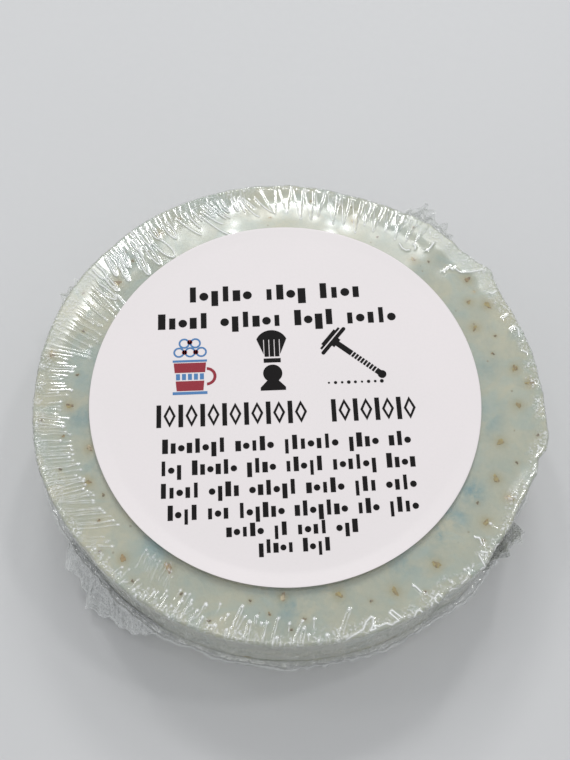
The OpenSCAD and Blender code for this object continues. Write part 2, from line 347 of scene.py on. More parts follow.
def make_chips(name, node, material, thickness, proud):
    """Ragged chips in the places of a CAD node's flakes. Each stands a little proud."""
    verts, faces, tones = [], [], []
    columns = 18
    # each ring of points: its share of the way out, and whether it is on the upper side
    rings = [(0.25, True), (0.5, True), (0.75, True), (1.0, True),
             (0.75, False), (0.5, False), (0.25, False)]
    for points in islands(node):
        face, out, along, half_l, half_w = chip_frame(points)
        half_l, half_w = 1.3 * half_l, 1.15 * half_w
        across = np.cross(out, along)
        start = len(verts)
        tone = rng.uniform()
        phase = rng.uniform(0, 2 * math.pi, 3)
        for t, upper in rings:
            for c in range(columns):
                a = 2 * math.pi * c / columns
                u, v, height = chip_point(t, a, phase, upper, thickness, proud)
                verts.append(face + along * u * half_l + across * v * half_w + out * height)
        for height in (0.6 * proud, proud - thickness):
            verts.append(face + out * height)
        tones += [tone] * (len(verts) - start)
        faces += ring_faces(len(rings), columns, start) + cap_faces(len(rings), columns, start)
    piece = make_mesh(name, on_cut_soap(np.array(verts)), faces, material, {"tone": tones})
    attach(piece, "root")
    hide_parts(node)
    return piece


def around_chips(grid):
    """How much the oat flakes and bran specks stain the soap round about them."""
    stain = np.zeros(grid.shape[:2])
    for node, size, strength in (("oat_flakes", 0.95, 1.0), ("bran_specks", 0.45, 0.7)):
        for points in islands(node):
            spot = on_cut_soap(chip_frame(points)[0][None, :])[0]
            away = np.linalg.norm(grid - spot, axis=-1)
            stain = np.maximum(stain, strength * np.exp(-(away / size) ** 2))
    return stain


def make_soap(material):
    """The hand-cut block as one closed surface, the same above and below its middle."""
    theta = np.linspace(0, 360, SOAP_COLUMNS, endpoint=False)
    radii = np.concatenate([np.linspace(2, 26, 9), np.linspace(26.6, SOAP_R - EDGE_R, 28)])
    upper = disc_profile(0.0, radii, side_steps=22, lowest=(SOAP_TOP + SOAP_BASE) / 2)
    lower = upper[::-1].copy()[1:]
    lower[:, 1] = SOAP_TOP + SOAP_BASE - lower[:, 1]
    lower[:, 3] *= -1
    profile = np.vstack([upper, lower])
    grid = cut_shape(theta[None, :], profile[:, 0:1], profile[:, 1:2])
    grain = np.array([[noise.fractal(Vector(p) * 0.55, 0.6, 2.0, 4) for p in row[::3]] for row in grid])
    grain = np.repeat(grain, 3, axis=1)[:, :SOAP_COLUMNS]
    grid = grid + outward_at(profile, theta) * (grain * SOAP_GRAIN)[..., None]
    on_top = grid[..., 2] > SOAP_TOP - 2.0
    # The blue mottles just outside the label's front edge are partly painted shadow of its lifted rim.
    soap_marks_and_shade = {"stain": around_chips(grid), "blue": patches(grid, BLUE_MOTTLES_AND_SHADE) * on_top,
              "cream": patches(grid, CREAM_PATCHES) * on_top}
    poles = np.array([[0, 0, SOAP_TOP], [0, 0, SOAP_BASE]])
    piece = lathe("soap", grid, poles, material, soap_marks_and_shade)
    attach(piece, "root")
    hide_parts("soap_puck")


# ---- film ----

RIM_R = SOAP_R - 1.2     # radius at inset 0
WIDE_FOLD = 0.23         # a fold with a greater half width shows as an outline
FLANGE_STEPS = (0.3, 0.65, 1.0)     # rows of the flange, as shares of its width
FLOOR_GAP = 0.01         # from the ground to the lowest film
WHITE_LINE = 0.075       # half width of the white line along a fold: partly whitening of the creased film, partly painted glint
WHITE_CREASE = 0.12      # and of the one along a crease
DENT = 0.012             # depth of a shiny spot of strength 1
SLOW_WAVE = 0.009        # height of the wide, shallow waves of the top film


def film_columns(zones):
    """Angles round the film, from zones in the form of TOP_ZONES."""
    parts = []
    for start, end, step in zones:
        count = round(math.radians(end - start) * RIM_R / step)
        parts.append(np.linspace(start, end, count, endpoint=False))
    return np.concatenate(parts)


def hairpin(angle, tip, lean, half, outer):
    """Path of a hairpin fold, whose two legs start at the inset outer and meet in a round tip."""
    t = np.linspace(-1, 1, 17)
    inset = tip - (tip - outer) * np.abs(t) ** 1.7
    return list(zip(angle + lean * np.abs(t) ** 1.7 + half * np.sin(2.2 * t), inset))


def curved_pleat(angle, outer, tip_angle, tip, bow):
    """Path of a single pleat, with its middle pushed inwards by bow."""
    t = np.linspace(0, 1, 7)
    return list(zip(angle + (tip_angle - angle) * t, outer + (tip - outer) * t + 4 * bow * t * (1 - t)))


class Relief:
    """Height of the film over its smooth shape, on a grid of insets (rows) and angles (columns), and
    how white it is drawn along its sharpest folds: partly whitening of the creased film, partly painted
    glint."""

    def __init__(self, insets, theta, seed):
        self.insets = np.asarray(insets)
        self.theta = theta
        self.height = np.zeros((len(insets), len(theta)))
        self.whitening_and_glint = np.zeros_like(self.height)
        self.random = np.random.default_rng(seed)
        self.x, self.y = np.moveaxis(on_face(insets, theta), -1, 0)

    def fold(self, angle, tip, outer, half, height, tip_half=None, lean=0.0, cone=0.0, power=2.0,
             cap=None, sway=0.0, phase=0.0, knob=0.0, whitening_and_glint=0.0):
        """A fold that runs in from the inset outer to a tip at the inset tip. half is its half width
        at the outer end and tip_half at the tip. It leans sideways by lean for each millimetre inwards.
        The nearer cone is to 1, the more it sinks towards the tip, where a knob can stand up. A high
        power gives it a flat crest, and cap is the length of its rounded end. A wide fold is drawn white
        along its outline and hides the white lines under it. A narrow one is drawn white along its middle,
        and a knob at its tip. This white is partly whitening of the creased film and partly painted glint."""
        tip_half = half if tip_half is None else tip_half
        cap = max(1.3 * tip_half, 0.3) if cap is None else cap
        reach = (2.2 * max(half, tip_half) + abs(lean) * (tip - outer) + abs(sway)) / 0.5 + 1
        columns = np.nonzero(np.abs(wrap_angle(self.theta - angle)) < reach)[0]
        rows = np.nonzero((self.insets < tip + 2.2 * cap) & (self.insets > outer - 1.2))[0]
        s = self.insets[rows][:, None]
        across = np.radians(wrap_angle(self.theta[columns] - angle))[None, :]
        across = across * (RIM_R - np.maximum(s, -1.0))
        share = np.clip((tip - s) / (tip - outer), 0.0, 1.0)
        middle = lean * (s - outer) + sway * np.sin(7.0 * share + phase)
        width = tip_half + (half - tip_half) * share
        past = np.maximum(s - tip, 0.0) / cap + np.maximum(outer - s, 0.0) / 0.5
        away = np.sqrt(((across - middle) / width) ** 2 + past ** 2)
        rise = (1.0 - cone) + cone * (0.12 + 0.88 * share) + knob * np.exp(-((s - tip) / 0.30) ** 2)
        patch = np.ix_(rows, columns)
        self.height[patch] = np.maximum(self.height[patch], height * rise * np.exp(-away ** power))
        # White line along the fold, and a white dot at a knob's tip: partly whitening of the creased film,
        # partly painted glint.
        outline, covered = (1.0, smooth(0.6, 1.0, away)) if half > WIDE_FOLD else (0.0, 1.0)
        line = np.exp(-((away - outline) * width / WHITE_LINE) ** 2)
        line = line * (0.75 + 0.25 * np.sin(4.0 * s + 9.0 * angle)) * smooth(outer - 0.2, outer + 0.3, s)
        if knob > 0:
            line = np.maximum(line, 1.6 * np.exp(-(np.hypot(across - middle, s - tip) / 0.17) ** 2))
        self.whitening_and_glint[patch] = np.maximum(self.whitening_and_glint[patch] * covered, np.minimum(whitening_and_glint * line, 1.0))

    def crease(self, path, width, height, whitening_and_glint):
        """A thin ridge along a path of (angle, inset) points, drawn white along its middle: partly
        whitening of the creased film, partly painted glint.
        """
        angles = [a for a, _ in path]
        points = [((RIM_R - s) * math.cos(math.radians(a)), (RIM_R - s) * math.sin(math.radians(a)))
                  for a, s in path]
        columns = np.nonzero((self.theta > min(angles) - 3) & (self.theta < max(angles) + 3))[0]
        x, y = self.x[:, columns], self.y[:, columns]
        nearest = np.full(x.shape, 9.0)
        for (x0, y0), (x1, y1) in zip(points, points[1:]):
            dx, dy = x1 - x0, y1 - y0
            t = np.clip(((x - x0) * dx + (y - y0) * dy) / (dx * dx + dy * dy), 0.0, 1.0)
            nearest = np.minimum(nearest, np.hypot(x - x0 - t * dx, y - y0 - t * dy))
        ridge = height * np.exp(-(nearest / width) ** 2)
        # White line along the crease: partly whitening of the creased film, partly painted glint.
        line = whitening_and_glint * np.exp(-(nearest / WHITE_CREASE) ** 2)
        self.height[:, columns] = np.maximum(self.height[:, columns], ridge)
        self.whitening_and_glint[:, columns] = np.maximum(self.whitening_and_glint[:, columns], line)

    def band(self, first, last, tip, outer, pitch, half, height, lean, gaps, spread, cone, knob, whitening_and_glint):
        """Close, nearly parallel folds between two angles. tip, outer and lean may each be a pair of
        values, one at each end of the band. gaps is the share of folds that are left out."""
        def along(value, share):
            return value[0] + (value[1] - value[0]) * share if isinstance(value, tuple) else value

        angle = first
        while angle < last:
            share = (angle - first) / (last - first)
            if self.random.uniform() > gaps:
                size = self.random.uniform(0.75, 1.25)
                self.fold(angle, along(tip, share) + self.random.normal() * spread,
                          along(outer, share) + self.random.normal() * spread * 0.7,
                          half * size, height * self.random.uniform(0.65, 1.2), half * 0.7 * size,
                          along(lean, share) + self.random.normal() * 0.05, cone,
                          sway=0.05 * self.random.normal(), phase=self.random.uniform(0, 6.28),
                          knob=knob * self.random.uniform(0.0, 1.6),
                          whitening_and_glint=whitening_and_glint * self.random.uniform(0.4, 1.3))
            angle += self.random.uniform(0.75, 1.3) * math.degrees(pitch / RIM_R)

    def crumple(self, first, last, inner, outer, size, grain, seed):
        """Creased patch between two angles and two insets: flat facets that meet in sharp folds."""
        local = np.random.default_rng(seed)
        columns = np.nonzero((self.theta >= first) & (self.theta <= last))[0]
        rows = np.nonzero((self.insets <= inner) & (self.insets >= outer))[0]
        patch = np.ix_(rows, columns)
        x, y = self.x[patch], self.y[patch]
        folds = np.zeros(x.shape)
        for k in range(6):
            turn, phase = local.uniform(0, math.pi), local.uniform(0, 6.28)
            length = grain * local.uniform(0.6, 1.6)
            bend = 0.8 * np.sin((x * math.sin(turn) - y * math.cos(turn)) / grain + 2 * phase)
            wave = 6.28 * (x * math.cos(turn) + y * math.sin(turn)) / length + bend + phase
            folds += np.sin(wave) * length / grain
        s = self.insets[rows][:, None]
        fade = np.minimum(1, (inner - s) / 1.0) * np.minimum(1, (s - outer) / 1.0)
        side = (self.theta[columns][None, :] - first) / (last - first)
        fade = fade * np.minimum(1, 6 * side) * np.minimum(1, 6 * (1 - side))
        self.height[patch] += size * (0.5 + 0.3 * folds) * np.clip(fade, 0, 1)


# How close the top film's columns are: (first angle, last angle, millimetres apart)
TOP_ZONES = [(-30, 52, 0.16), (52, 158, 0.11), (158, 246, 0.09), (246, 330, 0.11)]

# Hairpins at the upper left: (angle of the tip, inset of the tip, lean towards the rim in degrees,
# half width in degrees, inset where the legs start)
HAIRPINS = [
    (106.1, 3.7, 0.4, 0.5, 0.7), (108.9, 3.4, 1.3, 0.6, 0.6), (113.1, 3.7, 1.5, 0.6, 0.8),
    (126.2, 4.8, 0.0, 0.9, 1.0), (130.2, 3.2, -0.2, 0.7, 0.7), (130.3, 7.7, 0.9, 1.5, 3.5),
    (133.1, 3.3, -0.5, 0.8, 0.8), (135.4, 7.3, -1.1, 0.8, 2.8), (136.5, 2.9, -0.6, 0.6, 0.5),
    (140.3, 7.4, -3.1, 0.8, 2.6), (142.3, 3.9, -2.6, 0.6, 0.7), (145.7, 5.7, -4.1, 0.6, 0.9),
    (146.4, 3.5, -2.8, 0.5, -0.1), (148.6, 2.5, -1.0, 0.9, -0.3), (150.0, 5.5, -1.6, 0.5, 2.4),
    (152.5, 6.1, -0.9, 0.9, 2.3),
]
# Curved pleats between them: (angle and inset at the rim, angle and inset at the tip, bow)
CURVED_PLEATS = [
    (100.6, 1.3, 95.4, 5.0, 0.7), (104.6, 0.8, 100.4, 5.6, 0.9), (103.9, 1.0, 101.1, 3.5, 0.0),
    (105.1, 0.9, 104.2, 4.1, 0.5), (113.7, 0.6, 110.3, 4.6, 0.3), (112.5, 0.6, 109.0, 4.6, 0.7),
    (115.9, 1.8, 111.7, 5.6, 0.5), (116.8, 2.4, 110.3, 8.5, 1.0), (118.0, 0.8, 116.9, 3.6, 0.3),
    (119.9, 0.9, 118.4, 4.8, 0.4), (122.9, 1.2, 119.2, 6.3, 0.7), (151.2, 5.6, 152.8, 7.8, 0.0),
]
# Pointed folds along the back: (angle, inset of tip, half width, lean, height)
BACK_FOLDS = [
    (96.9, 4.5, 1.30, -0.15, 0.22), (92.3, 4.4, 1.05, -0.05, 0.18),
    (88.8, 5.4, 0.90, -0.10, 0.18), (85.8, 5.4, 0.85, -0.12, 0.17), (82.8, 4.3, 0.80, -0.05, 0.15),
    (79.2, 5.3, 1.00, -0.15, 0.19), (75.6, 4.9, 0.75, -0.12, 0.16), (72.6, 6.0, 0.80, -0.20, 0.17),
    (69.4, 3.6, 0.70, -0.15, 0.14), (66.5, 4.4, 0.75, -0.15, 0.15), (63.2, 3.2, 0.60, -0.20, 0.13),
    (60.0, 4.2, 0.65, -0.20, 0.14), (56.6, 3.4, 0.55, -0.20, 0.12), (53.5, 2.6, 0.45, -0.10, 0.11),
]
# Folds that stand up from the front rim: (angle, insets of tip and outer end, half width, lean, height)
FRONT_FOLDS = [
    (246.5, 1.6, -1.2, 0.16, 0.10, 0.07), (248.4, 2.2, -0.4, 0.15, 0.10, 0.07),
    (250.2, 1.2, -1.0, 0.18, 0.20, 0.08), (252.2, 0.6, -1.2, 0.20, 0.10, 0.09),
    (255.0, 0.0, -1.3, 0.26, 0.30, 0.10), (257.6, 1.9, 1.1, 0.16, 0.10, 0.07),
    (258.1, -0.1, -1.2, 0.16, 0.10, 0.08), (258.8, 1.0, -1.2, 0.15, 0.30, 0.08),
    (259.4, 3.4, 0.0, 0.24, 0.18, 0.10), (259.6, 2.1, -1.2, 0.16, 0.35, 0.09),
    (262.5, 1.5, -1.2, 0.28, 0.06, 0.11), (264.2, 2.4, 1.3, 0.18, 0.00, 0.11),
    (265.4, 1.5, 1.0, 0.15, 0.00, 0.07), (266.1, 1.6, -1.2, 0.20, 0.10, 0.13),
    (267.9, 2.4, -1.2, 0.20, 0.20, 0.12), (268.5, -0.2, -1.2, 0.24, 0.25, 0.11),
    (271.4, 1.7, 0.5, 0.17, 0.10, 0.10), (272.1, 2.0, -1.3, 0.18, 0.45, 0.09),
    (273.9, 1.0, -1.2, 0.26, 0.25, 0.12), (275.5, 0.1, -0.8, 0.17, 0.10, 0.09),
    (276.8, 2.2, 0.6, 0.16, 0.15, 0.09), (277.4, -0.7, -1.3, 0.20, 0.30, 0.09),
    (279.4, -0.2, -1.3, 0.24, 0.10, 0.12), (281.4, 2.6, -1.4, 0.30, 0.61, 0.15),
    (302.1, 2.3, 1.1, 0.20, -0.30, 0.10), (309.1, -0.3, -0.5, 0.16, 0.00, 0.09),
    (313.9, 0.0, -0.2, 0.14, 0.00, 0.08), (313.1, 0.2, 0.1, 0.13, 0.00, 0.08),
    (325.3, 1.3, 0.9, 0.14, 0.00, 0.08), (337.0, -0.5, -0.9, 0.14, 0.00, 0.08),
]
# Thin creases that wander along the front rim and the right one: (angle, inset) points
CREASES = [
    [(283.2, -1.3), (285.8, -0.7), (287.2, -0.4), (288.3, 0.5), (289.6, 0.9), (290.1, 0.7), (289.5, -0.2),
     (288.6, -0.8), (289.8, -0.8), (289.6, -0.3), (290.7, -0.7), (292.2, -0.6), (293.3, -1.1),
     (294.9, -0.9), (293.7, 0.5), (294.5, 0.7), (295.3, -0.2), (296.0, -1.0)],
    [(298.1, -1.3), (299.1, -0.7), (299.8, -0.8), (300.2, -1.3)],
    [(302.4, -1.2), (302.9, -0.9), (303.7, -0.9), (304.1, -1.4)],
    [(303.8, -0.9), (303.9, -0.5), (304.7, -0.3), (305.2, -0.4), (305.3, -0.9)],
    [(307.5, -1.2), (308.1, -1.1), (309.3, -1.5)], [(310.5, -1.1), (312.2, -0.9), (312.6, -0.5)],
    [(315.6, -1.2), (316.3, -1.2), (316.7, -1.6), (317.1, -0.7), (317.7, 0.3)],
    [(318.7, 0.3), (319.4, -0.5)], [(320.3, 2.0), (320.9, 1.4), (320.1, 0.7)],
    [(321.0, -1.4), (322.2, -1.2), (322.9, -1.6)],
    [(10.7, -0.3), (11.4, 0.2)], [(15.6, -0.2), (17.3, -0.6), (18.1, -0.3), (17.4, 0.7)],
    [(21.6, -0.2), (21.0, 1.0)], [(28.5, -0.6), (28.3, 0.2), (28.9, 0.6)],
    [(34.5, -0.5), (35.3, 0.1), (36.3, 1.5), (37.7, 2.4), (39.5, 2.5)],
    [(39.6, 3.0), (40.9, 3.0), (40.8, 4.5)], [(48.9, 1.3), (48.6, 2.4), (48.5, 3.3), (49.0, 3.6)],
    [(52.8, 4.1), (51.8, 4.2), (51.5, 4.6)], [(56.2, 5.3), (54.7, 5.8), (53.3, 5.9), (52.7, 5.5)],
    [(301.7, 2.3), (302.2, 1.1)],
]

# Spots at the inner ends of the pleats where the film is dented and shinier than round about it:
# (angle, distance from the middle, radius, strength)
SHINY_SPOTS = [
    (110, 28.8, 1.5, 1.0), (108.5, 30.9, 1.4, 0.9), (103.5, 32.4, 1.1, 0.9), (101, 31.8, 1.2, 0.9),
    (95.3, 32.2, 1.4, 1.0), (92, 32.4, 1.0, 0.9), (88, 31.9, 1.1, 0.9), (83.5, 31.2, 1.1, 0.9),
    (78, 30.7, 1.2, 0.9), (73, 30.7, 1.6, 1.0), (77.5, 28.6, 1.3, 1.0), (119, 31.5, 1.5, 0.9),
    (125.5, 31.9, 1.0, 0.7), (122, 29.9, 1.4, 0.5), (131, 29.6, 1.1, 0.5), (64, 31.0, 1.1, 0.6),
]


# Bands of close folds: (first angle, last angle, tip, outer, pitch, half, height, lean, gaps, spread,
# cone, knob, white line), as in Relief.band; the white line is partly whitening of the creased film and
# partly painted glint
BACK_BANDS = [
    (54, 104, 1.0, -1.3, 0.90, 0.20, 0.040, 0.0, 0.4, 0.6, 0.3, 0, 0.5),
    (104, 150, 1.6, -1.3, 0.85, 0.18, 0.025, 0.15, 0.2, 0.9, 0.3, 0, 0.6),
]
OTHER_BANDS = [
    # the comb of close folds on the left
    (150, 172, (6.6, 5.0), (2.4, 0.4), 0.62, 0.18, 0.024, (0.45, 0.1), 0.15, 0.9, 0.1, 0.5, 0.4),
    (172, 187, 3.4, 0.8, 0.50, 0.17, 0.018, 0.0, 0.06, 0.6, 0.1, 0.8, 0.6),
    (187, 202, 3.3, -0.3, 0.50, 0.17, 0.022, 0.25, 0.06, 0.6, 0.1, 0.8, 0.6),
    (202, 211, (4.4, 3.3), -0.5, 0.52, 0.17, 0.026, 0.25, 0.06, 0.4, 0.1, 0.8, 0.6),
    (209, 218, (4.0, 4.4), (-0.4, 0.2), 0.52, 0.17, 0.026, (0.45, 0.6), 0.06, 0.4, 0.1, 0.8, 0.6),
    (219, 223, 1.8, -1.1, 0.52, 0.16, 0.026, 0.85, 0.05, 0.3, 0.1, 0.8, 0.6),
    (158, 224, -0.1, -1.5, 0.85, 0.20, 0.020, 0.0, 0.3, 0.4, 0.3, 0, 0.3),
    # lower left: leaning folds beside the label, and short ones at the rim
    (233, 243, (4.8, 4.0), (2.4, 1.8), 0.36, 0.14, 0.020, -0.20, 0.1, 0.4, 0.1, 0.5, 0.35),
    (224, 246, 0.3, -1.3, 0.60, 0.17, 0.040, 0.1, 0.15, 0.7, 0.3, 0.4, 0.6),
    (240, 257, 1.9, 0.8, 0.75, 0.15, 0.045, 0.10, 0.15, 0.8, 0.3, 0.5, 0.7),
    (256, 284, -0.5, -1.4, 0.70, 0.17, 0.060, 0.2, 0.25, 0.3, 0.3, 0, 0.7),
    # right: smooth film, with crinkles only at the rim
    (296, 330, -0.9, -1.8, 1.10, 0.22, 0.045, 0.0, 0.35, 0.3, 0.3, 0, 0.3),
    (-30, 52, -0.7, -1.8, 1.00, 0.24, 0.045, 0.0, 0.35, 0.3, 0.3, 0, 0.3),
    # pleats down the side, all the way round
    (-30, 330, -2.0, -13.0, 1.7, 0.34, 0.12, 0.0, 0.3, 0.6, 0.3, 0, 0),
    (-30, 330, -7.0, -13.5, 1.0, 0.26, 0.12, 0.05, 0.25, 0.8, 0.3, 0, 0),
]
BASE_BANDS = [
    (0, 360, 6.0, -7.5, 1.9, 0.34, 0.20, 0.0, 0.25, 1.4, 0.3, 0, 0),
    (0, 360, 2.2, -3.0, 1.1, 0.28, 0.16, 0.0, 0.25, 0.8, 0.3, 0, 0),
    (0, 360, -2.5, -8.0, 1.4, 0.30, 0.24, 0.1, 0.25, 0.8, 0.3, 0, 0),
]


def on_face(insets, theta):
    """Points (x, y) of the flat top face, from insets (rows) and angles (columns)."""
    return at(RIM_R - np.asarray(insets)[:, None], theta, 0.0)[..., :2]


def top_relief(insets, theta):
    """The folds of the top film, the small ones at the back first, under the wide ones."""
    w = Relief(insets, theta, 21)
    for row in BACK_BANDS:
        w.band(*row)
    w.crumple(156, 176, inner=5.0, outer=0.2, size=0.006, grain=1.3, seed=5)
    for path in [hairpin(*row) for row in HAIRPINS] + [curved_pleat(*row) for row in CURVED_PLEATS]:
        w.crease(path, width=0.16, height=0.045, whitening_and_glint=0.8)
    for angle, tip, half, lean, height in BACK_FOLDS:
        w.fold(angle, tip + 0.4, -0.2, 1.05 * half, 0.6 * height, 0.2 * half, lean, cone=0.7, power=5.0,
               cap=0.4, whitening_and_glint=0.8)
    for angle, tip, outer, half, lean, height in FRONT_FOLDS:
        w.fold(angle, tip, outer, half, height, 0.85 * half, lean, cone=0.1, power=2.4, cap=0.25,
               knob=0.3, whitening_and_glint=0.8)
    for path in CREASES:
        w.crease(path, width=0.20, height=0.09, whitening_and_glint=0.95)
    for row in OTHER_BANDS:
        w.band(*row)
    w.height -= DENT * patches(on_face(insets, theta), SHINY_SPOTS)
    slow = np.sin(0.8 * w.x + 1.3) * np.sin(0.7 * w.y + 0.4) + 0.5 * np.sin(1.7 * w.x - 1.1 * w.y)
    wrinkled = 0.3 + 0.7 * smooth(0, 60, np.abs(wrap_angle(theta - 5)))[None, :]
    w.height += SLOW_WAVE * wrinkled * (1 + slow) * (1 - smooth(4.0, 8.0, w.insets[:, None]))
    return w


def frosted_patch(s, theta):
    """Two patches by the rim where the film is matt with tiny crinkles. s is a column of insets."""
    left = between(theta, 147, 172) * smooth(2.6, 0.6, s)
    right = between(theta, 26, 57) * smooth(2.2, 0.8, s)
    return np.maximum(left, right)


def rim_frost(s, theta):
    """How finely crinkled the film is: most along the rim, in patches."""
    reach = 0.2 + waves(theta, 81, 8, 40, 0.55)
    over_rim = smooth(-3.2, -1.6, s)
    near = smooth(reach + 0.9, reach - 0.3, s) * over_rim
    near = near * np.clip(0.65 + waves(theta, 82, 20, 90, 0.30), 0, 1)
    return np.maximum(near, 0.6 * frosted_patch(s, theta) * over_rim)


def film_softness(s, theta, spots):
    """How blurred the film's shine is: most beside the label at the back, but for its shiny spots, and
    in the frosted patches."""
    by_label = between(theta, 50, 130) * smooth(3.0, 5.0, s) * (1 - 0.85 * spots)
    return np.maximum(by_label, frosted_patch(s, theta))


def film_cling(s, theta, spots):
    """Where the film sticks to the soap beside the label, at the back, so that it shines less."""
    share = 0.3 * between(theta, 56, 132) + 0.3 * between(theta, 88, 100)
    return share * smooth(5.2, 7.0, s) * (1 - spots)


def base_relief(insets, theta):
    """The folds of the lower film, and wide pleats that are drawn in under the base."""
    w = Relief(insets, theta, 61)
    for row in BASE_BANDS:
        w.band(*row)
    for angle in range(3, 357, 13):
        swing = math.sin(angle)
        w.fold(angle + 3 * swing, 7 + 2.5 * swing, outer=0.4, half=1.0, height=0.20, tip_half=0.5,
               lean=0.1 * swing, cone=0.5)
    return w


def seam_wave(theta):
    """How far the girth seam wanders up and down."""
    return waves(theta, 51, 2, 9, 0.35) + waves(theta, 52, 14, 60, 0.12)


def flange_width(theta):
    """How far the trimmed flange reaches out of the side."""
    width = (FLANGE_R - SOAP_R) + 0.3 + waves(theta, 53, 5, 30, 0.22) + waves(theta, 54, 40, 120, 0.10)
    return np.maximum(width, 0.25)


def flange_ripple(theta):
    """Small ripples of the flange's rim, up and down."""
    return waves(theta, 55, 60, 130, 0.10)


def film_layers(relief):
    """The film's attributes, on its outside and then on its inside. Each has one value on the flange."""
    s, theta = relief.insets[:, None], relief.theta
    spots = patches(on_face(relief.insets, theta), SHINY_SPOTS)
    crease = np.clip(np.abs(np.gradient(relief.height, axis=1)) * 8, 0, 1)
    # name: (values, value on the flange, share of them on the inside)
    # the white lines along the folds are partly whitening of the creased film and partly painted glint
    table = {
        "haze": (crease, 0.6, 0.0), "frost": (rim_frost(s, theta), 0.3, 0.0),
        "whitening_and_glint": (relief.whitening_and_glint, 0.0, 0.0), "soft": (film_softness(s, theta, spots), 0.0, 1.0),
        "cling": (film_cling(s, theta, spots), 0.0, 1.0)}
    layers = {}
    for key, (values, on_flange, inside) in table.items():
        outer = np.concatenate([values, np.full((len(FLANGE_STEPS), len(theta)), on_flange)])
        layers[key] = np.concatenate([outer, inside * outer[::-2]])
    return layers


def film_shell(name, node, profile, theta, relief, upright, material):
    """One film as a closed thin shell: face, side and flange outside, and every second row of them
    again inside. upright is 1 for the upper film and -1 for the lower one."""
    r, z = profile[:, 0:1], profile[:, 1:2]
    if upright < 0:
        z = SOAP_TOP + SOAP_BASE - z
    sway_start = SOAP_TOP - 3.0 if upright > 0 else SOAP_BASE + 1.0
    grid = cut_shape(theta[None, :], r, z + seam_wave(theta) * smooth(sway_start, SEAM_Z, z))
    outward = outward_at(profile, theta, upright)
    grid = grid + outward * relief.height[..., None]
    up = np.array([0.0, 0.0, 1.0])
    width, ripple = flange_width(theta)[:, None], flange_ripple(theta)[:, None]
    rows = []
    for t in FLANGE_STEPS:
        drop = upright * (0.25 * (1 - t) ** 2 - 0.12)
        rows.append(grid[-1] + at(1.0, theta, 0.0) * width * t + up * (ripple * t + drop))
    grid = np.concatenate([grid, np.stack(rows)])
    outward = np.concatenate([outward, np.broadcast_to(up * upright, (len(rows), len(theta), 3))])
    inner = (grid - outward * FILM_T)[::-2]
    face = float(grid[0, :, 2].mean())
    poles = np.array([[0, 0, face], [0, 0, face - upright * FILM_T]])
    if upright < 0:
        # pressed flat where it stands on something
        grid[..., 2] = np.maximum(grid[..., 2], FLOOR_GAP)
        inner[..., 2] = np.maximum(inner[..., 2], FLOOR_GAP + FILM_T)
    piece = lathe(name, np.concatenate([grid, inner]), poles, material, film_layers(relief))
    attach(piece, "root")
    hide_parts(node)


def make_films(material):
    """The upper film, and the lower one, whose profile is drawn as if it were turned over."""
    theta = film_columns(TOP_ZONES)
    radii = np.concatenate([[3, 12, 20, 25, 26.6], np.linspace(27.2, SOAP_R - EDGE_R, 66)])
    profile = disc_profile(FILM_GAP + FILM_T, radii, side_steps=17, lowest=SEAM_Z)
    relief = top_relief(profile[:, 4], theta)
    film_shell("film_top", "film_top_web", profile, theta, relief, 1, material)
    theta = film_columns([(0, 360, 0.24)])
    radii = np.concatenate([np.linspace(3, 24, 7), np.linspace(25, SOAP_R - EDGE_R, 26)])
    turned_seam = SOAP_TOP + SOAP_BASE - SEAM_Z
    profile = disc_profile(FILM_GAP + FILM_T, radii, side_steps=16, lowest=turned_seam)
    relief = base_relief(profile[:, 4], theta)
    film_shell("film_base", "film_bottom_web", profile, theta, relief, -1, material)


def make_bead(material):
    """The melted bead: an uneven closed tube round the flange's rim."""
    columns, sides = 900, 8
    theta = np.linspace(0, 360, columns, endpoint=False)
    reach = SOAP_R + bumps(theta, OUTLINE) + flange_width(theta) + 0.15
    height = SEAM_Z + seam_wave(theta) + flange_ripple(theta)
    thick = np.clip(0.22 + 0.08 * waves(theta, 56, 30, 200, 1.0), 0.09, 0.42)
    rows = []
    for k in range(sides):
        b = -2 * math.pi * k / sides
        rows.append(at(reach + thick * 1.1 * math.cos(b), theta, height + thick * math.sin(b)))
    verts = np.stack(rows).reshape(-1, 3)
    faces = ring_faces(sides, columns, closed=True)
    piece = make_mesh("seam_bead", verts, faces, material, {"haze": np.full(len(verts), 0.7)})
    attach(piece, "root")
    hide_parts("film_seam_bead")


# ---- ears: scraps of crumpled film that stand out of the seam ----

EAR_STEP = 0.16          # spacing of an ear's points
EAR_HALF_T = 0.02        # half the thickness of its film
EAR_LAYERS = 2
FACETS = (3.2, 2.4, 1.9, 1.4, 1.0, 0.8, 0.6)    # sizes of the flat facets

# Each ear: name, CAD node, first and last angle, reach and rise, seed. Reach and rise are functions of
# the share of the way from the first angle to the last.
EARS = [
    ("ear_front_left", "film_ear_front_left", 213, 242,
     lambda u: 1.0 + 2.6 * np.sin(math.pi * u ** 0.8) ** 0.9 + 0.5 * np.sin(17 * u),
     lambda u: -2.0 - 4.2 * np.sin(math.pi * u) ** 0.8, 3),
    ("ear_front_right", "film_ear_front_right", 321, 335,
     lambda u: 0.6 + 2.2 * u ** 0.8 * smooth(1.0, 0.75, u) + 0.3 * np.sin(25 * u),
     lambda u: 1.5 + 4.0 * np.sin(math.pi * u), 5),
    ("ear_back_right", "film_ear_back_right", 46, 68,
     lambda u: 1.6 + 4.6 * np.sin(math.pi * u) ** 0.8 + 0.5 * np.sin(13 * u),
     lambda u: 2.0 + 3.5 * np.sin(math.pi * u), 8),
    ("ear_back_left", "film_ear_back_left", 143, 160,
     lambda u: 1.4 + 2.6 * np.sin(math.pi * u) ** 0.8,
     lambda u: 1.5 + 2.5 * np.sin(math.pi * u), 12),
]


